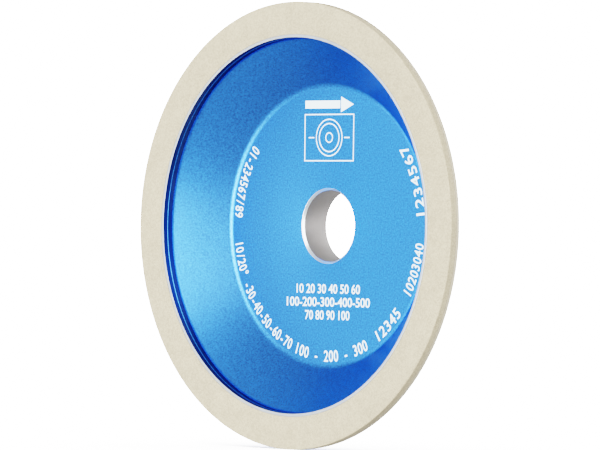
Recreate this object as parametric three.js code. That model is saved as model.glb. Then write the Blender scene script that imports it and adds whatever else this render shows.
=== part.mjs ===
// Dish-shaped diamond grinding wheel: an anodised aluminium body that carries a bonded diamond ring.
//
// Frame: millimetres, +Z up. The wheel's axis is Y and its centre is the origin. The grinding face looks
// along -Y and the back of the hub along +Y. Every piece is a ring or a body of revolution, so each is one
// closed profile in (radius, y), turned about Y. A depth is measured from the grinding face, towards +Y.

import * as THREE from "three";

// ---- driving dimensions, mm ----
const OUTSIDE_DIAMETER = 125;
const TOTAL_THICKNESS = 24; // grinding face to the back of the hub
const BORE_DIAMETER = 20;
const HUB_THICKNESS = 9.5; // dish floor to the back of the hub
const RING_WIDTH = 9.1; // radial width of the diamond ring
const DIAMOND_DEPTH = 2; // usable layer
const BACKING_DEPTH = 1; // base layer under it, without diamond
const LIP_WIDTH = 0.8; // bare lip of the body inside the ring
const WALL_BELOW_SEAT = 0.3; // how far the straight wall inside the lip goes on below the ring's seat
const DISH_ANGLE = 49.7; // degrees between the dish's cone and the axis
const BACK_ANGLE = 45; // degrees between the back's cone and the axis

// ---- fits and edges, mm ----
const BOND_FILM = 0.1; // cement between the ring, its backing and the body
const FLANGE_SETBACK = 0.3; // the body's rim stands this far inside the ring's outside
const RING_EDGE = 0.25; // chamfer on the ring's outer front edge
const FLOOR_FILLET = 2.8; // radius between the dish's floor and its cone
const WALL_FILLET = 1; // radius between the cone and the straight wall
const FRONT_BORE_CHAMFER = 0.6;
const BACK_BORE_CHAMFER = 0.5;
const BACK_EDGE_CHAMFER = 0.5;

const TURN_SEGMENTS = 96;
const FILLET_STEPS = 4;

// ---- places worked out from them, mm ----
const FRONT = -TOTAL_THICKNESS / 2;
const BACK = TOTAL_THICKNESS / 2;
const FLOOR = BACK - HUB_THICKNESS;
const BORE_RADIUS = BORE_DIAMETER / 2;
const RING_OUTER = OUTSIDE_DIAMETER / 2;
const RING_INNER = RING_OUTER - RING_WIDTH;
const LIP_OUTER = RING_INNER - BOND_FILM;
const LIP_INNER = LIP_OUTER - LIP_WIDTH;
const DIAMOND_BACK = FRONT + DIAMOND_DEPTH;
const BACKING_FRONT = DIAMOND_BACK + BOND_FILM;
const BACKING_BACK = BACKING_FRONT + BACKING_DEPTH;
const SEAT = BACKING_BACK + BOND_FILM;
const WALL_END = SEAT + WALL_BELOW_SEAT;
const FLANGE_OUTER = RING_OUTER - FLANGE_SETBACK;

// Radius of a cone that starts at one radius and place and closes in by an angle from the axis.
function coneRadius(startRadius, startY, angle, y) {
  return startRadius - (y - startY) * Math.tan(THREE.MathUtils.degToRad(angle));
}

const FLOOR_RADIUS = coneRadius(LIP_INNER, WALL_END, DISH_ANGLE, FLOOR);
const BACK_RADIUS = coneRadius(FLANGE_OUTER, SEAT, BACK_ANGLE, BACK);

const point = (radius, y) => new THREE.Vector2(radius, y);

// Points of a round fillet at a profile's corner, from the side of `before` to the side of `after`.
function fillet(before, corner, after, radius) {
  const toBefore = before.clone().sub(corner).normalize();
  const toAfter = after.clone().sub(corner).normalize();
  const halfAngle = Math.acos(toBefore.dot(toAfter)) / 2;
  const middle = toBefore.clone().add(toAfter).normalize();
  const centre = corner.clone().addScaledVector(middle, radius / Math.sin(halfAngle));
  const tangent = radius / Math.tan(halfAngle);
  const start = corner.clone().addScaledVector(toBefore, tangent).sub(centre);
  const end = corner.clone().addScaledVector(toAfter, tangent).sub(centre);
  const sweep = Math.atan2(start.cross(end), start.dot(end));
  const points = [];
  for (let step = 0; step <= FILLET_STEPS; step++) {
    const turned = start.clone().rotateAround(new THREE.Vector2(), (sweep * step) / FILLET_STEPS);
    points.push(turned.add(centre));
  }
  return points;
}

// Turns a closed profile, listed anticlockwise with the radius to the right and y up, about the Y axis.
function turned(name, profile, material) {
  const closed = [...profile, profile[0].clone()];
  const mesh = new THREE.Mesh(new THREE.LatheGeometry(closed, TURN_SEGMENTS), material);
  mesh.name = name;
  return mesh;
}

const anodised = new THREE.MeshStandardMaterial({ color: 0x1d6fc4, roughness: 0.35, metalness: 0.9 });
const resinBase = new THREE.MeshStandardMaterial({ color: 0xd2ccbb, roughness: 0.8, metalness: 0 });
const diamondBond = new THREE.MeshStandardMaterial({ color: 0xdbd5c6, roughness: 0.85, metalness: 0 });

// Body: bore, hub, dish with its straight wall and lip, seat for the ring, and the cone of the back.
function wheelBody() {
  const floorCorner = point(FLOOR_RADIUS, FLOOR);
  const wallCorner = point(LIP_INNER, WALL_END);
  const boreAtFloor = point(BORE_RADIUS + FRONT_BORE_CHAMFER, FLOOR);
  return turned(
    "wheel_body",
    [
      point(BORE_RADIUS, FLOOR + FRONT_BORE_CHAMFER),
      boreAtFloor,
      ...fillet(boreAtFloor, floorCorner, wallCorner, FLOOR_FILLET),
      ...fillet(floorCorner, wallCorner, point(LIP_INNER, FRONT), WALL_FILLET),
      point(LIP_INNER, FRONT),
      point(LIP_OUTER, FRONT),
      point(LIP_OUTER, SEAT),
      point(FLANGE_OUTER, SEAT),
      point(
        coneRadius(FLANGE_OUTER, SEAT, BACK_ANGLE, BACK - BACK_EDGE_CHAMFER),
        BACK - BACK_EDGE_CHAMFER,
      ),
      point(BACK_RADIUS - BACK_EDGE_CHAMFER, BACK),
      point(BORE_RADIUS + BACK_BORE_CHAMFER, BACK),
      point(BORE_RADIUS, BACK - BACK_BORE_CHAMFER),
    ],
    anodised,
  );
}

// Base layer of the ring, bonded to the body's seat.
function backingRing() {
  return turned(
    "backing_ring",
    [
      point(RING_INNER, BACKING_FRONT),
      point(RING_OUTER, BACKING_FRONT),
      point(RING_OUTER, BACKING_BACK),
      point(RING_INNER, BACKING_BACK),
    ],
    resinBase,
  );
}

// Diamond layer, whose front is the grinding face.
function diamondRing() {
  return turned(
    "diamond_ring",
    [
      point(RING_INNER, FRONT),
      point(RING_OUTER - RING_EDGE, FRONT),
      point(RING_OUTER, FRONT + RING_EDGE),
      point(RING_OUTER, DIAMOND_BACK),
      point(RING_INNER, DIAMOND_BACK),
    ],
    diamondBond,
  );
}

const wheel = new THREE.Group();
wheel.add(wheelBody(), backingRing(), diamondRing());

export default wheel;
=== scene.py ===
import math

import bmesh
import bpy
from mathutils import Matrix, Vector


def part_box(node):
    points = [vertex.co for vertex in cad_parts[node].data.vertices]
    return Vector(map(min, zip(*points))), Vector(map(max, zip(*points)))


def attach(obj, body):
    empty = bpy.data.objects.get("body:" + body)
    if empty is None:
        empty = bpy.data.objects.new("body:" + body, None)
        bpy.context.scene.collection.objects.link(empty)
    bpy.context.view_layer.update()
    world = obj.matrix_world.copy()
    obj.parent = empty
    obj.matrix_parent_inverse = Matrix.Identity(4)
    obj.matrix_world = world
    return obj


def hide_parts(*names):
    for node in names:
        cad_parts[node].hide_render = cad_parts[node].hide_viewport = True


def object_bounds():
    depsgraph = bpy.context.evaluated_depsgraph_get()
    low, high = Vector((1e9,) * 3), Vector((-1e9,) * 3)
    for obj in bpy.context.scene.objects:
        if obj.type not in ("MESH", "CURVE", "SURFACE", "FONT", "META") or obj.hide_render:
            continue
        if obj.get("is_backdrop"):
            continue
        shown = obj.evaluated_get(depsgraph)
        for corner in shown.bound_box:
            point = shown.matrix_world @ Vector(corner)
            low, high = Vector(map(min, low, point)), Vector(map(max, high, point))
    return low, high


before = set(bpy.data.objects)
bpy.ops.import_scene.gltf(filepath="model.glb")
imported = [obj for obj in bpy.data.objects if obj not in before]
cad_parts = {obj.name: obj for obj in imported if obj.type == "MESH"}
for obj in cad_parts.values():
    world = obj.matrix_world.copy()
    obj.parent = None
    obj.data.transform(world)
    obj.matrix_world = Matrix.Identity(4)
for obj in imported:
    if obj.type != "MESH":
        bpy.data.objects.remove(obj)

bl_info = {
    "name": "Diamond Grinding Wheel",
    "version": (1, 0, 0),
    "blender": (4, 5, 0),
    "location": "View3D > Sidebar > Grinding Wheel",
    "description": "Builds a dish-shaped diamond grinding wheel round its packed frame",
    "category": "Add Mesh",
}

BODY = "root"
MM = 0.001
SAME_PLACE = 2e-6  # two points nearer than this, in metres, are at one place
NEAR_BORE = 1.5 * MM  # farther from the bore than its chamfers reach
TURN_STEPS = 256  # vertices round each turned circle
SMOOTH_ANGLE = math.radians(28)  # edges flatter than this are shaded smooth


# ---------------------------------------------------------------- places read from the frame

def node_rings(node):
    """Every (radius, y) pair that a turned CAD node's vertices lie on."""
    places = set()
    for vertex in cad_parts[node].data.vertices:
        radius = math.hypot(vertex.co.x, vertex.co.z)
        places.add((round(radius, 6), round(vertex.co.y, 6)))
    return sorted(places)


def radii_at(node, y):
    """Least and greatest radius of a node's vertices in one plane across the axis."""
    radii = [radius for radius, place in node_rings(node) if abs(place - y) < SAME_PLACE]
    return min(radii), max(radii)


def read_places():
    """The turned outline's radii and places along Y, in metres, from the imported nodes."""
    low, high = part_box("wheel_body")
    diamond_low, diamond_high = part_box("diamond_ring")
    backing_low, backing_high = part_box("backing_ring")
    rings = node_rings("wheel_body")
    bore = rings[0][0]
    floor = min(y for radius, y in rings if radius < bore + NEAR_BORE)
    lip_inner, lip_outer = radii_at("wheel_body", low.y)
    seat = min(y for radius, y in rings if radius > lip_outer + SAME_PLACE)
    return {
        "front": low.y,
        "back": high.y,
        "floor": floor,
        "seat": seat,
        "bore": bore,
        "front_bore_edge": radii_at("wheel_body", floor)[0],
        "back_bore_edge": radii_at("wheel_body", high.y)[0],
        "lip_inner": lip_inner,
        "lip_outer": lip_outer,
        "flange": radii_at("wheel_body", seat)[1],
        "ring_inner": radii_at("diamond_ring", diamond_low.y)[0],
        "ring_outer": diamond_high.x,
        "diamond_back": diamond_high.y,
        "backing_front": backing_low.y,
        "backing_back": backing_high.y,
    }


PLACE = read_places()


# ---------------------------------------------------------------- what a user may change

class WheelShape(bpy.types.PropertyGroup):
    """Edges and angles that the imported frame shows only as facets."""

    dish_angle: bpy.props.FloatProperty(
        name="Dish angle", description="Angle between the dish's cone and the axis",
        default=math.radians(49.7), subtype="ANGLE", unit="ROTATION",
    )
    wall_below_seat: bpy.props.FloatProperty(
        name="Wall below seat", description="Length of the straight wall past the ring's seat",
        default=0.3 * MM, subtype="DISTANCE", unit="LENGTH",
    )
    floor_fillet: bpy.props.FloatProperty(
        name="Floor fillet", description="Radius between the dish's floor and its cone",
        default=2.8 * MM, subtype="DISTANCE", unit="LENGTH",
    )
    wall_fillet: bpy.props.FloatProperty(
        name="Wall fillet", description="Radius between the cone and the straight wall",
        default=1 * MM, subtype="DISTANCE", unit="LENGTH",
    )
    wall_step: bpy.props.FloatProperty(
        name="Wall step", description="Width of the fine turned step halfway down the straight wall",
        default=0.13 * MM, subtype="DISTANCE", unit="LENGTH",
    )
    step_depth: bpy.props.FloatProperty(
        name="Step depth", description="Depth of the turned step from the grinding face",
        default=1.5 * MM, subtype="DISTANCE", unit="LENGTH",
    )
    sharp_edge: bpy.props.FloatProperty(
        name="Broken edge", description="Width of the fine break on every turned metal edge",
        default=0.08 * MM, subtype="DISTANCE", unit="LENGTH",
    )
    ring_edge: bpy.props.FloatProperty(
        name="Ring edge", description="Width of the worn round on the ring's outer front edge",
        default=0.3 * MM, subtype="DISTANCE", unit="LENGTH",
    )
    film_recess: bpy.props.FloatProperty(
        name="Film recess", description="How far the cement film stays back from the surface",
        default=0.12 * MM, subtype="DISTANCE", unit="LENGTH",
    )


class WheelMarks(bpy.types.PropertyGroup):
    """Sizes of the generic laser marks on the dish's floor."""

    number_height: bpy.props.FloatProperty(
        name="Number height", description="Height of the numbers round the floor's edge",
        default=3.1 * MM, subtype="DISTANCE", unit="LENGTH",
    )
    number_radius: bpy.props.FloatProperty(
        name="Number radius", description="Radius of the circle that the numbers stand on",
        default=38.1 * MM, subtype="DISTANCE", unit="LENGTH",
    )
    row_height: bpy.props.FloatProperty(
        name="Row height", description="Height of the numbers in the rows under the bore",
        default=2.5 * MM, subtype="DISTANCE", unit="LENGTH",
    )
    line_width: bpy.props.FloatProperty(
        name="Line width", description="Width of the emblem's drawn lines",
        default=0.3 * MM, subtype="DISTANCE", unit="LENGTH",
    )
    relief: bpy.props.FloatProperty(
        name="Relief", description="Height of a mark above the floor",
        default=0.02 * MM, subtype="DISTANCE", unit="LENGTH",
    )


class WheelFinish(bpy.types.PropertyGroup):
    """Colours of the wheel's finishes."""

    anodised: bpy.props.FloatVectorProperty(
        name="Anodising", description="Colour of the anodised body",
        default=(0.0232, 0.148, 0.6), size=3, min=0, max=1, subtype="COLOR",
    )
    # The wall's colour is the body's anodising at about a fifth of its brightness: painted shade on the
    # straight wall.
    wall_anodising_with_painted_shade: bpy.props.FloatVectorProperty(
        name="Wall anodising", description="Colour of the deeper, glossy anodising on the straight wall",
        default=(0.004, 0.032, 0.12), size=3, min=0, max=1, subtype="COLOR",
    )
    bare_metal: bpy.props.FloatVectorProperty(
        name="Bare metal", description="Colour of the turned bore and lip",
        default=(0.3, 0.285, 0.28), size=3, min=0, max=1, subtype="COLOR",
    )
    lip_metal: bpy.props.FloatVectorProperty(
        name="Lip metal", description="Colour of the lip inside the ring",
        default=(0.3, 0.33, 0.36), size=3, min=0, max=1, subtype="COLOR",
    )
    bright_chamfer: bpy.props.FloatVectorProperty(
        name="Bright chamfer", description="Colour of the freshly cut chamfers of the bore",
        default=(0.8, 0.9, 0.95), size=3, min=0, max=1, subtype="COLOR",
    )
    diamond_bond: bpy.props.FloatVectorProperty(
        name="Diamond bond", description="Colour of the ring's diamond layer",
        default=(0.306, 0.26, 0.171), size=3, min=0, max=1, subtype="COLOR",
    )
    resin_base: bpy.props.FloatVectorProperty(
        name="Resin base", description="Colour of the layer under the diamond layer",
        default=(0.35, 0.31, 0.23), size=3, min=0, max=1, subtype="COLOR",
    )
    cement: bpy.props.FloatVectorProperty(
        name="Cement", description="Colour of the cement film",
        default=(0.3, 0.27, 0.22), size=3, min=0, max=1, subtype="COLOR",
    )
    laser_white: bpy.props.FloatVectorProperty(
        name="Laser white", description="Colour of the laser marks",
        default=(0.7, 0.92, 0.98), size=3, min=0, max=1, subtype="COLOR",
    )


class WheelStage(bpy.types.PropertyGroup):
    """Camera and light of the product view."""

    azimuth: bpy.props.FloatProperty(
        name="Azimuth", description="Turn of the camera from the wheel's axis towards +X",
        default=math.radians(45.93), subtype="ANGLE", unit="ROTATION",
    )
    roll: bpy.props.FloatProperty(
        name="Roll", description="Turn of the camera about its own axis",
        default=math.radians(0.68), subtype="ANGLE", unit="ROTATION",
    )
    distance: bpy.props.FloatProperty(
        name="Distance", description="Distance from the camera to the grinding face",
        default=1.5, subtype="DISTANCE", unit="LENGTH",
    )
    lens: bpy.props.FloatProperty(
        name="Lens", description="Focal length in millimetres on a 36 mm wide sensor",
        default=323.3,
    )
    aim: bpy.props.FloatVectorProperty(
        name="Aim", description="Point in the middle of the view, from the centre of the grinding face",
        default=(3.62 * MM, 0, 0.16 * MM), size=3, subtype="TRANSLATION", unit="LENGTH",
    )
    seen_background: bpy.props.FloatProperty(
        name="Background", description="Brightness of the background behind the wheel", default=20,
    )
    room_light: bpy.props.FloatProperty(
        name="Room light", description="Brightness of the room all round the wheel", default=0.8,
    )
    floor_wash: bpy.props.FloatProperty(
        name="Floor wash", description="Strength of the light on the floor alone", default=60,
    )
    floor_colour: bpy.props.FloatVectorProperty(
        name="Floor colour", description="Colour of the pale floor",
        default=(0.9, 0.9, 0.9), size=3, min=0, max=1, subtype="COLOR",
    )


# ---------------------------------------------------------------- turned shapes

def begin_turning(name, radius, y):
    """Adds a circle of edges about the wheel's axis and opens it in edit mode, all selected."""
    bpy.ops.object.select_all(action="DESELECT")
    bpy.ops.mesh.primitive_circle_add(
        vertices=TURN_STEPS, radius=radius, fill_type="NOTHING",
        location=(0, y, 0), rotation=(math.radians(90), 0, 0),
    )
    piece = bpy.context.object
    piece.name = name
    piece.data.name = name
    bpy.ops.object.transform_apply(location=True, rotation=True, scale=True)
    bpy.ops.object.mode_set(mode="EDIT")
    bpy.ops.mesh.select_mode(type="VERT")
    bpy.ops.mesh.select_all(action="SELECT")
    return piece


def turn_to(start, end):
    """Extrudes the selected circle from one (radius, y) to the next, which stays selected."""
    bpy.ops.mesh.extrude_region_move(TRANSFORM_OT_translate={"value": (0, end[1] - start[1], 0)})
    growth = end[0] / start[0]
    if abs(growth - 1) > 1e-9:
        bpy.ops.transform.resize(value=(growth, 1, growth), center_override=(0, end[1], 0))


def turn_outline(name, outline):
    """A closed ring turned from an outline of (radius, y) corners, left open in edit mode."""
    piece = begin_turning(name, *outline[0])
    for start, end in zip(outline, outline[1:] + outline[:1]):
        turn_to(start, end)
    bpy.ops.mesh.select_all(action="SELECT")
    bpy.ops.mesh.remove_doubles(threshold=SAME_PLACE)
    bpy.ops.mesh.normals_make_consistent(inside=False)
    return piece


def select_circle(radius, y):
    """Selects the one circle of edges at a radius and a place along the axis."""
    mesh = bmesh.from_edit_mesh(bpy.context.object.data)
    for vertex in mesh.verts:
        off = math.hypot(math.hypot(vertex.co.x, vertex.co.z) - radius, vertex.co.y - y)
        vertex.select = off < SAME_PLACE * 3
    mesh.select_flush(True)
    mesh.select_flush(False)
    bmesh.update_edit_mesh(bpy.context.object.data)


def round_circle(radius, y, width, segments):
    """Bevels the circle of edges at one corner of the outline by a width along both faces."""
    select_circle(radius, y)
    bpy.ops.mesh.bevel(
        offset_type="OFFSET", offset=width, segments=segments, profile=0.5, affect="EDGES",
    )


def fillet_width(radius, turn):
    """Distance from a corner to where a fillet of this radius starts, for the angle it turns by."""
    return radius * math.tan(turn / 2)


def paint_faces(slot, wanted):
    """Gives a material slot to every face whose middle, as (radius, y), is wanted."""
    piece = bpy.context.object
    mesh = bmesh.from_edit_mesh(piece.data)
    for face in mesh.faces:
        middle = face.calc_center_median()
        face.select_set(wanted(math.hypot(middle.x, middle.z), middle.y))
    bmesh.update_edit_mesh(piece.data)
    piece.active_material_index = slot
    bpy.ops.object.material_slot_assign()


def give_materials(piece, materials):
    """Adds materials as the piece's slots, in order."""
    for material in materials:
        piece.data.materials.append(material)


def finish_piece(piece, nodes=()):
    """Leaves edit mode, smooths the shading and fixes the piece to the wheel."""
    if bpy.context.object.mode == "EDIT":
        bpy.ops.object.mode_set(mode="OBJECT")
    bpy.ops.object.select_all(action="DESELECT")
    piece.select_set(True)
    bpy.context.view_layer.objects.active = piece
    bpy.ops.object.shade_smooth_by_angle(angle=SMOOTH_ANGLE)
    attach(piece, BODY)
    if nodes:
        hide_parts(*nodes)


# ---------------------------------------------------------------- shader expressions

class Wire:
    """A node's output socket. Sums and products of wires and numbers add Math nodes."""

    def __init__(self, paint, socket):
        self.paint = paint
        self.socket = socket

    def maths(self, operation, first, second=0.0):
        return self.paint.node("ShaderNodeMath", {"operation": operation}, {0: first, 1: second})

    def __add__(self, other):
        return self.maths("ADD", self, other)

    def __radd__(self, other):
        return self.maths("ADD", other, self)

    def __mul__(self, other):
        return self.maths("MULTIPLY", self, other)

    def __rmul__(self, other):
        return self.maths("MULTIPLY", other, self)

    def __truediv__(self, other):
        return self.maths("DIVIDE", self, other)

    def above(self, limit):
        return self.maths("GREATER_THAN", self, limit)


class Paint:
    """A material with a Principled surface, and the one way to add nodes to it."""

    MIX_FIRST, MIX_SECOND, MIX_RESULT = 6, 7, 2  # a Mix node's colour sockets, by number

    def __init__(self, name):
        self.material = bpy.data.materials.new(name)
        self.material.use_nodes = True
        self.tree = self.material.node_tree
        self.surface = next(n for n in self.tree.nodes if n.type == "BSDF_PRINCIPLED")
        self.place = self.node("ShaderNodeTexCoord", output="Object")

    def node(self, kind, settings=None, sockets=None, output=0):
        """Adds a node with its settings, then its sockets' values or wires, and returns one output."""
        made = self.tree.nodes.new(kind)
        for name, value in (settings or {}).items():
            if name == "stops":
                self.set_stops(made.color_ramp, value)
            else:
                setattr(made, name, value)
        for name, value in (sockets or {}).items():
            self.put(made.inputs[name], value)
        return Wire(self, made.outputs[output])

    def set_stops(self, ramp, stops):
        """Fills a colour ramp with (place, grey) stops."""
        while len(ramp.elements) < len(stops):
            ramp.elements.new(1.0)
        for element, (place, grey) in zip(ramp.elements, stops):
            element.position = place
            element.color = (grey, grey, grey, 1.0)

    def put(self, socket, value):
        """Links a wire to a socket, or sets a plain value on it."""
        if isinstance(value, Wire):
            self.tree.links.new(value.socket, socket)
        elif hasattr(value, "__len__") and socket.type == "RGBA":
            socket.default_value = (*value[:3], 1.0)
        else:
            socket.default_value = value

    def set_surface(self, **sockets):
        """Sets the Principled sockets, whose names are given with _ for a space."""
        for name, value in sockets.items():
            self.put(self.surface.inputs[name.replace("_", " ")], value)

    def noise(self, size, detail=2.0, roughness=0.5):
        """Noise from 0 to 1 with features of about this size in metres."""
        sockets = {"Vector": self.place, "Scale": 1 / size, "Detail": detail, "Roughness": roughness}
        return self.node("ShaderNodeTexNoise", sockets=sockets)

    def turning_lines(self, across, pitch):
        """Uneven fine lines from 0 to 1 across the place they are cut over, in metres."""
        sockets = {"W": across, "Scale": 1 / pitch, "Detail": 2.0}
        return self.node("ShaderNodeTexNoise", {"noise_dimensions": "1D"}, sockets)

    def ramp(self, value, *stops):
        """A value through a ramp of (place, grey) stops."""
        return self.node("ShaderNodeValToRGB", {"stops": stops}, {"Fac": value})

    def mix(self, factor, first, second, blend="MIX"):
        """Mix of two colours or colour wires."""
        settings = {"data_type": "RGBA", "blend_type": blend, "clamp_factor": True}
        sockets = {"Factor": factor, self.MIX_FIRST: first, self.MIX_SECOND: second}
        return self.node("ShaderNodeMix", settings, sockets, output=self.MIX_RESULT)

    def radius(self):
        """Distance from the wheel's axis, in metres."""
        off_axis = {0: self.place, 1: (1, 0, 1)}
        across = self.node("ShaderNodeVectorMath", {"operation": "MULTIPLY"}, off_axis)
        settings = {"operation": "LENGTH"}
        return self.node("ShaderNodeVectorMath", settings, {0: across}, output="Value")

    def along(self):
        """Place along the wheel's axis, in metres."""
        return self.node("ShaderNodeSeparateXYZ", sockets={0: self.place}, output="Y")

    def bump(self, height, strength, distance):
        """Normal bumped by a height wire."""
        sockets = {"Height": height, "Strength": strength, "Distance": distance}
        return self.node("ShaderNodeBump", sockets=sockets)


EDGE_TINT = (0.22, 0.42, 0.6)  # colour of anodised metal seen at a glancing angle
PAINTED_SHADE_REACH = 60 * MM  # radius at the end of the ramp of painted shade that darkens the colour low in the dish
GRIT = 0.35 * MM  # size of the ring's grit


def shade(colour, factor):
    """A colour made lighter or darker by a factor, kept within 0 and 1."""
    return tuple(min(1.0, channel * factor) for channel in colour)


def satin_anodising_with_painted_shade(colour):
    """Blue anodising over a blasted surface: fine sparkling grain, with painted shade that darkens it low
    down in the dish.
    """
    paint = Paint("satin_anodising_with_painted_shade")
    grain = paint.noise(0.5 * MM, detail=2, roughness=0.7)
    cloud = paint.noise(6 * MM, detail=2)
    sparkle = paint.ramp(grain, (0.34, 0), (0.66, 1))
    tone = paint.mix(sparkle, shade(colour, 0.68), shade(colour, 1.6))
    tone = paint.mix(cloud * 0.3, tone, shade(colour, 1.02))
    # Painted shade: a ramp by radius darkens the floor, most at the fillet between floor and cone, and
    # lightens up the cone to the wall.
    out = paint.radius() / PAINTED_SHADE_REACH
    painted_shade = paint.ramp(out, (0.66, 0.88), (0.672, 0.78), (0.75, 0.86), (0.85, 1))
    tone = paint.mix(1.0, tone, painted_shade, blend="MULTIPLY")
    paint.set_surface(
        Base_Color=tone, Metallic=1.0, Roughness=0.33 + 0.1 * grain, Specular_Tint=EDGE_TINT,
        Coat_Weight=0.2, Coat_Roughness=0.35, Coat_IOR=1.6,
        Normal=paint.bump(grain, 0.9, 0.04 * MM),
    )
    return paint.material


def glossy_anodising_with_painted_shade(colour):
    """Glossy blue anodising over a finely turned wall, with its turning lines, in the wall's colour with
    painted shade.
    """
    paint = Paint("glossy_anodising_with_painted_shade")
    lines = paint.turning_lines(paint.along(), 0.12 * MM)
    grain = paint.noise(0.5 * MM, detail=2)
    paint.set_surface(
        Base_Color=paint.mix(lines * 0.5, shade(colour, 0.8), shade(colour, 1.15)), Metallic=1.0,
        Roughness=0.26 + 0.06 * grain, Specular_Tint=EDGE_TINT,
        Coat_Weight=0.45, Coat_Roughness=0.24, Coat_IOR=1.6,
        Normal=paint.bump(lines, 0.05, 0.002 * MM),
    )
    return paint.material


def bare_metal(name, colour, roughness, lines_along_axis):
    """Turned bare aluminium, with fine lines left by the tool."""
    paint = Paint(name)
    across = paint.along() if lines_along_axis else paint.radius()
    lines = paint.turning_lines(across, 0.16 * MM)
    smear = paint.noise(1.4 * MM, detail=3)
    paint.set_surface(
        Base_Color=paint.mix(lines * 0.6 + smear * 0.4, shade(colour, 0.82), shade(colour, 1.1)),
        Metallic=1.0, Roughness=roughness + 0.12 * smear,
        Normal=paint.bump(lines, 0.3, 0.008 * MM),
    )
    return paint.material


def bonded_grit(name, colour, contrast):
    """Matt resin with fine grit: small pale and dark grains, and faint cloudy patches."""
    paint = Paint(name)
    cells = {"Vector": paint.place, "Scale": 1 / GRIT}
    grit = paint.node("ShaderNodeTexVoronoi", {"feature": "F1"}, cells, output="Color")
    grey = paint.node("ShaderNodeSeparateColor", sockets={0: grit}, output="Red")
    fine = paint.noise(0.25 * MM, detail=3, roughness=0.6)
    patches = paint.noise(4.5 * MM, detail=3, roughness=0.55)
    mottle = grey * 0.35 + fine * 0.3 + patches * 0.35
    tone = paint.mix(mottle, shade(colour, 1 - contrast), shade(colour, 1 + contrast))
    dark_grain = paint.noise(0.45 * MM, detail=1).above(0.7)
    tone = paint.mix(dark_grain * 0.25, tone, shade(colour, 0.6))
    paint.set_surface(
        Base_Color=tone, Roughness=0.78 + 0.15 * fine, Specular_IOR_Level=0.35,
        Normal=paint.bump(grey * 0.5 + fine * 0.5, 0.3, 0.03 * MM),
    )
    return paint.material


def cement_film(colour):
    """Dull cement in the joint lines."""
    paint = Paint("cement_film")
    mottle = paint.noise(0.8 * MM)
    paint.set_surface(Base_Color=paint.mix(mottle, shade(colour, 0.8), shade(colour, 1.2)), Roughness=0.7)
    return paint.material


def laser_white(colour):
    """Matt white laser marking, with the faint unevenness of the burnt surface."""
    paint = Paint("laser_white")
    speckle = paint.noise(0.22 * MM, detail=2)
    paint.set_surface(
        Base_Color=paint.mix(speckle, shade(colour, 0.86), shade(colour, 1.05)),
        Roughness=0.55 + 0.15 * speckle, Normal=paint.bump(speckle, 0.2, 0.01 * MM),
    )
    return paint.material


def pale_floor(colour):
    """Plain pale studio floor with a faint tooth."""
    paint = Paint("pale_floor")
    tooth = paint.noise(3 * MM)
    paint.set_surface(
        Base_Color=paint.mix(tooth, shade(colour, 0.99), shade(colour, 1.01)), Roughness=0.9,
        Specular_IOR_Level=0.1,
    )
    return paint.material


# ---------------------------------------------------------------- pieces

SATIN, GLOSSY, BARE, LIP, BRIGHT = range(5)  # the turned body's material slots
FLOOR_FILLET_STEPS = 10  # faces across the floor's fillet
CORNER_STEPS = 6  # faces across the body's other rounded corners
EDGE_STEPS = 3  # faces across a broken metal edge
WORN_STEPS = 5  # faces across the ring's worn edge
RING_EDGE_STEPS = 2  # faces across the ring's other edges
BACK_BREAK = 5  # width of the break round the back face, in broken edges
WALL_EDGE_SHARE = 3  # an edge's break is at most the wall's step over this
ZONE_MARGIN = 0.05 * MM  # how far past a corner a material zone reaches


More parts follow.
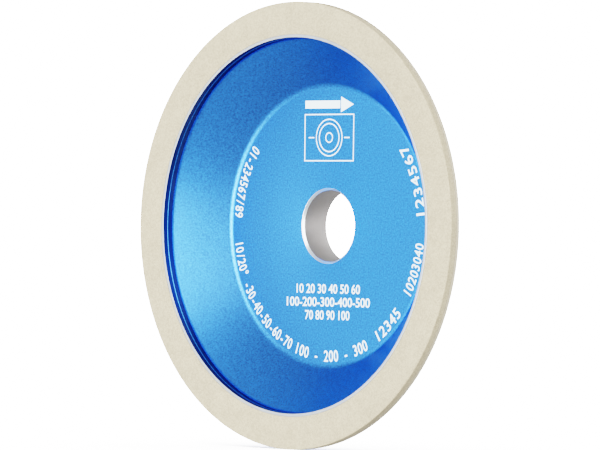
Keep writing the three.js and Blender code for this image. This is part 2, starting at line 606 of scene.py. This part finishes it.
class WHEEL_OT_add_body(bpy.types.Operator):
    """Turns the anodised aluminium body: hub, dish, straight wall, lip, seat and 45 degree back"""

    bl_idname = "wheel.add_body"
    bl_label = "Add Wheel Body"

    def execute(self, context):
        shape = context.scene.wheel_shape
        finish = context.scene.wheel_finish
        p = PLACE
        wall_end = p["seat"] + shape.wall_below_seat
        floor_radius = p["lip_inner"] - (p["floor"] - wall_end) * math.tan(shape.dish_angle)
        back_radius = p["flange"] - (p["back"] - p["seat"])
        front_chamfer = p["front_bore_edge"] - p["bore"]
        back_chamfer = p["back_bore_edge"] - p["bore"]
        floor_corner = (floor_radius, p["floor"])
        step_top = p["front"] + shape.step_depth
        inner_wall = p["lip_inner"] - shape.wall_step
        wall_corner = (inner_wall, wall_end + shape.wall_step / math.tan(shape.dish_angle))
        back_corner = (back_radius, p["back"])
        outline = [
            (p["bore"], p["floor"] + front_chamfer),
            (p["front_bore_edge"], p["floor"]),
            floor_corner,
            wall_corner,
            (inner_wall, step_top + shape.wall_step),
            (p["lip_inner"], step_top),
            (p["lip_inner"], p["front"]),
            (p["lip_outer"], p["front"]),
            (p["lip_outer"], p["seat"]),
            (p["flange"], p["seat"]),
            back_corner,
            (p["back_bore_edge"], p["back"]),
            (p["bore"], p["back"] - back_chamfer),
        ]
        piece = turn_outline("turned_body", outline)
        give_materials(piece, [
            satin_anodising_with_painted_shade(finish.anodised),
            glossy_anodising_with_painted_shade(finish.wall_anodising_with_painted_shade),
            bare_metal("bare_bore", finish.bare_metal, 0.38, True),
            bare_metal("bare_lip", finish.lip_metal, 0.4, False),
            bare_metal("bright_chamfer", finish.bright_chamfer, 0.25, True),
        ])
        self.round_edges(shape, outline, floor_corner, wall_corner, back_corner)
        self.paint_zones(shape, wall_corner, front_chamfer, back_chamfer)
        finish_piece(piece, ["wheel_body"])
        return {"FINISHED"}

    def round_edges(self, shape, outline, floor_corner, wall_corner, back_corner):
        """Fillets the dish and breaks every turned edge."""
        turn = math.radians(90) - shape.dish_angle
        wall_width = fillet_width(shape.wall_fillet, shape.dish_angle)
        round_circle(*floor_corner, fillet_width(shape.floor_fillet, turn), FLOOR_FILLET_STEPS)
        round_circle(*wall_corner, wall_width, CORNER_STEPS)
        round_circle(*back_corner, BACK_BREAK * shape.sharp_edge, CORNER_STEPS)
        break_width = min(shape.sharp_edge, shape.wall_step / WALL_EDGE_SHARE)
        for corner in outline:
            if corner not in (floor_corner, wall_corner, back_corner):
                round_circle(*corner, break_width, EDGE_STEPS)

    def paint_zones(self, shape, wall_corner, front_chamfer, back_chamfer):
        """Glossy wall, bare bore and lip, bright chamfers. The rest, and the fine step, are satin."""
        p = PLACE
        step_top = p["front"] + shape.step_depth
        step_end = step_top + shape.wall_step
        wall = wall_corner[0] - ZONE_MARGIN
        wall_end = wall_corner[1] - fillet_width(shape.wall_fillet, shape.dish_angle)
        bore_edge = max(p["front_bore_edge"], p["back_bore_edge"]) + ZONE_MARGIN
        front_end = p["floor"] + front_chamfer - ZONE_MARGIN
        back_end = p["back"] - back_chamfer + ZONE_MARGIN
        paint_faces(GLOSSY, lambda r, y: wall < r < p["lip_outer"] and y < wall_end)
        paint_faces(SATIN, lambda r, y: wall < r < p["lip_inner"] and step_top < y < step_end)
        paint_faces(BARE, lambda r, y: r < bore_edge)
        paint_faces(LIP, lambda r, y: r > wall and y < p["front"] + ZONE_MARGIN)
        paint_faces(BRIGHT, lambda r, y: r < bore_edge and (y < front_end or y > back_end))


class WHEEL_OT_add_rings(bpy.types.Operator):
    """Turns the diamond ring, its resin base and the cement film that holds them"""

    bl_idname = "wheel.add_rings"
    bl_label = "Add Bonded Rings"

    def execute(self, context):
        shape = context.scene.wheel_shape
        finish = context.scene.wheel_finish
        self.diamond_ring(shape, finish)
        self.backing_ring(shape, finish)
        self.cement(shape, finish)
        return {"FINISHED"}

    def diamond_ring(self, shape, finish):
        """The grinding layer, its outer front edge a little worn."""
        inner, outer = PLACE["ring_inner"], PLACE["ring_outer"]
        front, back = PLACE["front"], PLACE["diamond_back"]
        outline = [(inner, front), (outer, front), (outer, back), (inner, back)]
        piece = turn_outline("grinding_ring", outline)
        worn_corner = (outer, front)
        round_circle(*worn_corner, shape.ring_edge, WORN_STEPS)
        for corner in outline:
            if corner != worn_corner:
                round_circle(*corner, shape.sharp_edge / 2, RING_EDGE_STEPS)
        give_materials(piece, [bonded_grit("diamond_bond", finish.diamond_bond, 0.44)])
        finish_piece(piece, ["diamond_ring"])

    def backing_ring(self, shape, finish):
        """The layer without diamond under it."""
        inner, outer = PLACE["ring_inner"], PLACE["ring_outer"]
        front, back = PLACE["backing_front"], PLACE["backing_back"]
        outline = [(inner, front), (outer, front), (outer, back), (inner, back)]
        piece = turn_outline("base_ring", outline)
        for corner in outline:
            round_circle(*corner, shape.sharp_edge / 2, RING_EDGE_STEPS)
        give_materials(piece, [bonded_grit("resin_base", finish.resin_base, 0.15)])
        finish_piece(piece, ["backing_ring"])

    def cement(self, shape, finish):
        """The film that fills the joints, a little short of the surface."""
        p = PLACE
        recess = shape.film_recess
        edge = p["flange"] - recess
        top = p["front"] + recess
        outline = [
            (p["lip_outer"], top),
            (p["ring_inner"], top),
            (p["ring_inner"], p["diamond_back"]),
            (edge, p["diamond_back"]),
            (edge, p["backing_front"]),
            (p["ring_inner"], p["backing_front"]),
            (p["ring_inner"], p["backing_back"]),
            (edge, p["backing_back"]),
            (edge, p["seat"]),
            (p["lip_outer"], p["seat"]),
        ]
        piece = turn_outline("cement_film", outline)
        give_materials(piece, [cement_film(finish.cement)])
        finish_piece(piece)


# ---------------------------------------------------------------- laser marks

DIGIT_HEIGHT = 0.69  # height of a digit in the built-in font, as a share of its size
DIGIT_WIDTH = 0.64  # width of most digits, as a share of their height
SIGN_FILL = 0.82  # how much of its pitch on the circle a digit fills
WIDEST = 1.25  # the most that a sign is widened
MARK_DEPTH = 0.01 * MM  # how far a mark reaches below the floor
STROKE_GROWTH = 0.045 * MM  # how much heavier the font's strokes are made
CURVE_STEPS = 4  # steps in each curve of a sign
WELD = 1e-7  # points of a sign nearer than this, in metres, are joined

# Groups of numbers on the circle: the text, and the angles of its first and last sign, in degrees
# anticlockwise from +X as seen from the front.
NUMBER_ARCS = [
    ("01-234567/89", 144.5, 175.5),
    ("10/20° -30-40-50-60-70", 188.5, 246),
    ("100 - 200 - 300", 251, 294.5),
    ("12345", 303.5, 319),
    ("10203040", 330, 351.5),
    ("1234567", 5.5, 35),
]

# Rows under the bore: the text, its height above the axis and its width, in metres.
NUMBER_ROWS = [
    ("10 20 30 40 50 60", -18.9 * MM, 25.4 * MM),
    ("100-200-300-400-500", -22.6 * MM, 33.3 * MM),
    ("70 80 90 100", -26.3 * MM, 17.8 * MM),
]


def stand_on_floor(piece):
    """Turns a flat shape drawn in X and Y up to face -Y, lays it in the dish's floor and applies it."""
    bpy.ops.object.select_all(action="DESELECT")
    piece.select_set(True)
    bpy.context.view_layer.objects.active = piece
    bpy.ops.object.transform_apply(location=True, rotation=True, scale=True)
    piece.rotation_euler = (math.radians(90), 0, 0)
    piece.location = (0, PLACE["floor"] + MARK_DEPTH, 0)
    bpy.ops.object.transform_apply(location=True, rotation=True, scale=True)


def join_pieces(name, pieces):
    """Joins pieces into one of this name."""
    bpy.ops.object.select_all(action="DESELECT")
    for piece in pieces:
        piece.select_set(True)
    bpy.context.view_layer.objects.active = pieces[0]
    if len(pieces) > 1:
        bpy.ops.object.join()
    whole = bpy.context.object
    whole.name = name
    whole.data.name = name
    return whole


def text_shape(text, height, thickness):
    """A text as a closed mesh, flat in X and Y and centred on X, with its feet at the origin."""
    bpy.ops.object.select_all(action="DESELECT")
    bpy.ops.object.text_add(location=(0, 0, 0))
    letters = bpy.context.object
    letters.data.body = text
    letters.data.size = height / DIGIT_HEIGHT
    letters.data.offset = STROKE_GROWTH
    letters.data.align_x = "CENTER"
    letters.data.resolution_u = CURVE_STEPS
    letters.data.extrude = thickness / 2
    bpy.ops.object.convert(target="MESH")
    shape = bpy.context.object
    bpy.ops.object.mode_set(mode="EDIT")
    bpy.ops.mesh.select_all(action="SELECT")
    bpy.ops.mesh.remove_doubles(threshold=WELD)
    bpy.ops.transform.translate(value=(0, 0, thickness / 2))
    bpy.ops.object.mode_set(mode="OBJECT")
    return shape


def copy_of(piece):
    """A copy of a piece with its own mesh."""
    bpy.ops.object.select_all(action="DESELECT")
    piece.select_set(True)
    bpy.context.view_layer.objects.active = piece
    bpy.ops.object.duplicate(linked=False)
    return bpy.context.object


class WHEEL_OT_add_numbers(bpy.types.Operator):
    """Marks plain numbers round the floor's edge and in rows under the bore"""

    bl_idname = "wheel.add_numbers"
    bl_label = "Add Marked Numbers"

    def execute(self, context):
        marks = context.scene.wheel_marks
        white = laser_white(context.scene.wheel_finish.laser_white)
        self.arcs(marks, white)
        self.rows(marks, white)
        return {"FINISHED"}

    def arcs(self, marks, white):
        """One sign at a time, feet outwards, at even angles within each group."""
        thickness = marks.relief + MARK_DEPTH
        models = {}
        placed = []
        for text, first, last in NUMBER_ARCS:
            step = (last - first) / (len(text) - 1)
            pitch = math.radians(step) * (marks.number_radius - marks.number_height / 2)
            for count, sign in enumerate(text):
                if sign == " ":
                    continue
                if sign not in models:
                    models[sign] = text_shape(sign, marks.number_height, thickness)
                width = min(WIDEST, SIGN_FILL * pitch / (DIGIT_WIDTH * marks.number_height))
                placed.append(self.place_sign(models[sign], marks, width, first + step * count))
        for model in models.values():
            bpy.data.objects.remove(model)
        piece = join_pieces("marked_numbers_round_edge", placed)
        stand_on_floor(piece)
        give_materials(piece, [white])
        finish_piece(piece)

    def place_sign(self, model, marks, width, angle):
        """A copy of one sign, narrowed or widened, at an angle on the circle."""
        sign = copy_of(model)
        turn = math.radians(angle)
        sign.scale = (width, 1, 1)
        sign.rotation_euler = (0, 0, turn + math.radians(90))
        sign.location = (marks.number_radius * math.cos(turn), marks.number_radius * math.sin(turn), 0)
        bpy.ops.object.transform_apply(location=True, rotation=True, scale=True)
        return sign

    def rows(self, marks, white):
        """Centred rows, each stretched or narrowed to its width."""
        placed = []
        for text, height, width in NUMBER_ROWS:
            row = text_shape(text, marks.row_height, marks.relief + MARK_DEPTH)
            row.scale = (width / row.dimensions.x, 1, 1)
            row.location = (0, height, 0)
            bpy.ops.object.transform_apply(location=True, rotation=True, scale=True)
            placed.append(row)
        piece = join_pieces("marked_number_rows", placed)
        stand_on_floor(piece)
        give_materials(piece, [white])
        finish_piece(piece)


def flat_bar(width, height, x, y, thickness):
    """A flat bar in X and Y, centred on a point, drawn as a plane and extruded to its thickness."""
    bpy.ops.object.select_all(action="DESELECT")
    bpy.ops.mesh.primitive_plane_add(size=1, location=(x, y, 0))
    bar = bpy.context.object
    bar.scale = (width, height, 1)
    bpy.ops.object.transform_apply(location=True, rotation=True, scale=True)
    thicken(thickness)
    return bar


def thicken(thickness):
    """Extrudes the active flat shape upwards into a closed body."""
    bpy.ops.object.mode_set(mode="EDIT")
    bpy.ops.mesh.select_all(action="SELECT")
    bpy.ops.mesh.extrude_region_move(TRANSFORM_OT_translate={"value": (0, 0, thickness)})
    bpy.ops.mesh.select_all(action="SELECT")
    bpy.ops.mesh.normals_make_consistent(inside=False)
    bpy.ops.object.mode_set(mode="OBJECT")


def hollow_out(line_width):
    """Insets the active flat shape by a line's width and deletes its middle."""
    bpy.ops.object.mode_set(mode="EDIT")
    bpy.ops.mesh.select_all(action="SELECT")
    bpy.ops.mesh.inset(thickness=line_width, use_boundary=True)
    bpy.ops.mesh.delete(type="FACE")
    bpy.ops.object.mode_set(mode="OBJECT")


class WHEEL_OT_add_emblem(bpy.types.Operator):
    """Marks a plain arrow and a framed plan of a wheel above the bore"""

    bl_idname = "wheel.add_emblem"
    bl_label = "Add Marked Emblem"

    FRAME_SIZE = (19.8 * MM, 13.3 * MM)
    FRAME_MIDDLE = 24.8 * MM
    ARROW_MIDDLE = 34.1 * MM
    ARROW_SIZE = (19.4 * MM, 4.4 * MM)
    ARROW_GAP = 0.35 * MM
    ARROW_BAR = 0.5  # thickness of the arrow's bar, as a share of its head's width
    ARROW_HEAD = 1.15  # length of the arrow's head, as a share of its width
    PLAN_RADII = (5.3 * MM, 4.1 * MM, 1.5 * MM)
    PLAN_STEPS = 64
    CENTRE_LINE = (6 * MM, 8.2 * MM)  # where each centre line starts and ends

    def execute(self, context):
        marks = context.scene.wheel_marks
        white = laser_white(context.scene.wheel_finish.laser_white)
        thickness = marks.relief + MARK_DEPTH
        pieces = self.arrow(thickness) + [self.border(marks, thickness)]
        pieces += self.wheel_plan(marks, thickness)
        piece = join_pieces("marked_emblem", pieces)
        stand_on_floor(piece)
        give_materials(piece, [white])
        finish_piece(piece)
        return {"FINISHED"}

    def arrow(self, thickness):
        """A broad arrow: a bar and a head drawn as a triangle, a hair apart."""
        width, height = self.ARROW_SIZE
        head = self.ARROW_HEAD * height
        shaft = width - head - self.ARROW_GAP
        middle = (shaft - width) / 2
        bar = flat_bar(shaft, self.ARROW_BAR * height, middle, self.ARROW_MIDDLE, thickness)
        bpy.ops.object.select_all(action="DESELECT")
        bpy.ops.mesh.primitive_circle_add(
            vertices=3, radius=1, fill_type="NGON", rotation=(0, 0, math.radians(-90)),
            location=(width / 2 - 2 * head / 3, self.ARROW_MIDDLE, 0),
        )
        point = bpy.context.object
        point.scale = (height / math.sqrt(3), head / 1.5, 1)
        bpy.ops.object.transform_apply(location=True, rotation=True, scale=True)
        thicken(thickness)
        return [bar, point]

    def border(self, marks, thickness):
        """The frame: a plane inset by the line's width, its middle taken out."""
        bpy.ops.object.select_all(action="DESELECT")
        bpy.ops.mesh.primitive_plane_add(size=1, location=(0, self.FRAME_MIDDLE, 0))
        piece = bpy.context.object
        piece.scale = (*self.FRAME_SIZE, 1)
        bpy.ops.object.transform_apply(location=True, rotation=True, scale=True)
        hollow_out(marks.line_width)
        thicken(thickness)
        return piece

    def wheel_plan(self, marks, thickness):
        """Three circles and two centre lines that stop short of them."""
        pieces = []
        for radius in self.PLAN_RADII:
            bpy.ops.object.select_all(action="DESELECT")
            bpy.ops.mesh.primitive_circle_add(
                vertices=self.PLAN_STEPS, radius=radius, fill_type="NGON",
                location=(0, self.FRAME_MIDDLE, 0),
            )
            bpy.ops.object.transform_apply(location=True, rotation=True, scale=True)
            circle = bpy.context.object
            hollow_out(marks.line_width)
            thicken(thickness)
            pieces.append(circle)
        start, end = self.CENTRE_LINE
        for side in (-1, 1):
            x = side * (start + end) / 2
            pieces.append(flat_bar(end - start, marks.line_width, x, self.FRAME_MIDDLE, thickness))
        return pieces


# ---------------------------------------------------------------- stage

# Soft lights round the wheel: name, azimuth from the wheel's axis towards +X and elevation, width and
# height, all in degrees as seen from the wheel, and radiance.
SOFTBOXES = [
    ("key", -10, 0, 8, 30, 105),
    ("left_strip", -70, 0, 15, 30, 10),
    ("camera_side", 45, 0, 8, 30, 25),
    ("high_right", 60, 30, 60, 30, 8),
    ("behind_right", 110, 0, 15, 30, 10),
    ("rear_key", -175, 10, 40, 40, 8),
    ("rear_fill", 180, 0, 50, 50, 4),
]
SOFTBOX_DISTANCE = 2.0  # metres
FLOOR_SIZE = 60  # metres
WASH_ANGLE = math.radians(100)  # how wide the floor's own light is spread
SENSOR_WIDTH = 36  # millimetres
VIEW_END = 100  # metres that the camera sees


def add_softbox(name, azimuth, elevation, width, height, radiance):
    """An area light aimed at the wheel's centre, of a size and radiance as seen from there."""
    a, e = math.radians(azimuth), math.radians(elevation)
    towards = Vector((math.sin(a) * math.cos(e), -math.cos(a) * math.cos(e), math.sin(e)))
    bpy.ops.object.light_add(type="AREA", location=towards * SOFTBOX_DISTANCE)
    light = bpy.context.object
    light.name = name
    light.rotation_euler = towards.to_track_quat("Z", "Y").to_euler()
    light.data.shape = "RECTANGLE"
    light.data.size = 2 * SOFTBOX_DISTANCE * math.tan(math.radians(width) / 2)
    light.data.size_y = 2 * SOFTBOX_DISTANCE * math.tan(math.radians(height) / 2)
    light.data.energy = math.pi * light.data.size * light.data.size_y * radiance
    light.visible_camera = False
    return light


def lit_together(name, pieces):
    """A collection of pieces for lights to be limited to."""
    lit = bpy.data.collections.new(name)
    for piece in pieces:
        lit.objects.link(piece)
    return lit


class WHEEL_OT_set_stage(bpy.types.Operator):
    """Sets the camera, the pale floor, the soft lights and the plain background"""

    bl_idname = "wheel.set_stage"
    bl_label = "Set Stage"

    def execute(self, context):
        stage = context.scene.wheel_stage
        self.camera(context, stage)
        floor = self.floor(stage)
        self.lights(stage, floor)
        self.background(context, stage)
        return {"FINISHED"}

    def camera(self, context, stage):
        """A long lens, level with the wheel's axis."""
        back = Vector((math.sin(stage.azimuth), -math.cos(stage.azimuth), 0))
        aim = Vector(stage.aim) + Vector((0, PLACE["front"], 0))
        bpy.ops.object.camera_add(location=aim + back * stage.distance)
        camera = bpy.context.object
        camera.name = "product_camera"
        camera.rotation_euler = back.to_track_quat("Z", "Y").to_euler()
        camera.rotation_euler.rotate_axis("Z", stage.roll)
        camera.data.sensor_width = SENSOR_WIDTH
        camera.data.lens = stage.lens
        camera.data.clip_end = VIEW_END
        context.scene.camera = camera

    def floor(self, stage):
        """A wide floor that the rim stands on. It neither lights the wheel nor shades it."""
        low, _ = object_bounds()
        bpy.ops.object.select_all(action="DESELECT")
        bpy.ops.mesh.primitive_plane_add(size=FLOOR_SIZE, location=(0, 0, low[2]))
        floor = bpy.context.object
        floor.name = "pale_floor"
        bpy.ops.object.transform_apply(location=True, rotation=True, scale=True)
        floor.data.materials.append(pale_floor(stage.floor_colour))
        floor.visible_glossy = False
        floor.visible_diffuse = False
        floor.visible_shadow = False
        floor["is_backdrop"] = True
        return floor

    def lights(self, stage, floor):
        """Soft lights for the wheel alone, and a wash for the floor alone."""
        pieces = [piece for piece in bpy.data.objects if piece.type == "MESH" and piece != floor]
        wheel_only = lit_together("wheel_only", pieces)
        for softbox in SOFTBOXES:
            add_softbox(*softbox).light_linking.receiver_collection = wheel_only
        bpy.ops.object.light_add(type="SUN", location=(0, 0, 1))
        wash = bpy.context.object
        wash.name = "floor_wash"
        wash.data.energy = stage.floor_wash
        wash.data.angle = WASH_ANGLE
        wash.light_linking.receiver_collection = lit_together("floor_only", [floor])

    def background(self, context, stage):
        """White where the camera sees it. For light and reflections, an evenly lit room."""
        world = bpy.data.worlds.new("plain_room")
        context.scene.world = world
        world.use_nodes = True
        nodes, links = world.node_tree.nodes, world.node_tree.links
        nodes.clear()
        room = nodes.new("ShaderNodeBackground")
        room.inputs["Strength"].default_value = stage.room_light
        seen = nodes.new("ShaderNodeBackground")
        seen.inputs["Strength"].default_value = stage.seen_background
        for background in (room, seen):
            background.inputs["Color"].default_value = (1, 1, 1, 1)
        ray = nodes.new("ShaderNodeLightPath")
        mix = nodes.new("ShaderNodeMixShader")
        out = nodes.new("ShaderNodeOutputWorld")
        links.new(ray.outputs["Is Camera Ray"], mix.inputs[0])
        links.new(room.outputs[0], mix.inputs[1])
        links.new(seen.outputs[0], mix.inputs[2])
        links.new(mix.outputs[0], out.inputs["Surface"])
        context.scene.view_settings.view_transform = "Filmic"
        context.scene.view_settings.look = "Medium High Contrast"


class WHEEL_PT_panel(bpy.types.Panel):
    """Lists the wheel's pieces and stage"""

    bl_label = "Grinding Wheel"
    bl_idname = "WHEEL_PT_panel"
    bl_space_type = "VIEW_3D"
    bl_region_type = "UI"
    bl_category = "Grinding Wheel"

    def draw(self, context):
        layout = self.layout
        for operator in OPERATORS:
            layout.operator(operator.bl_idname)
        for group in GROUPS:
            settings = getattr(context.scene, GROUPS[group])
            box = layout.box()
            for name in group.__annotations__:
                box.prop(settings, name)


GROUPS = {
    WheelShape: "wheel_shape",
    WheelMarks: "wheel_marks",
    WheelFinish: "wheel_finish",
    WheelStage: "wheel_stage",
}
OPERATORS = [
    WHEEL_OT_add_body,
    WHEEL_OT_add_rings,
    WHEEL_OT_add_numbers,
    WHEEL_OT_add_emblem,
    WHEEL_OT_set_stage,
]


def register():
    for group, name in GROUPS.items():
        bpy.utils.register_class(group)
        setattr(bpy.types.Scene, name, bpy.props.PointerProperty(type=group))
    for operator in OPERATORS:
        bpy.utils.register_class(operator)
    bpy.utils.register_class(WHEEL_PT_panel)


def unregister():
    bpy.utils.unregister_class(WHEEL_PT_panel)
    for operator in reversed(OPERATORS):
        bpy.utils.unregister_class(operator)
    for group, name in reversed(list(GROUPS.items())):
        delattr(bpy.types.Scene, name)
        bpy.utils.unregister_class(group)


def main():
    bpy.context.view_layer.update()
    register()
    bpy.ops.wheel.add_body()
    bpy.ops.wheel.add_rings()
    bpy.ops.wheel.add_numbers()
    bpy.ops.wheel.add_emblem()
    bpy.ops.wheel.set_stage()


if __name__ == "__main__":
    main()
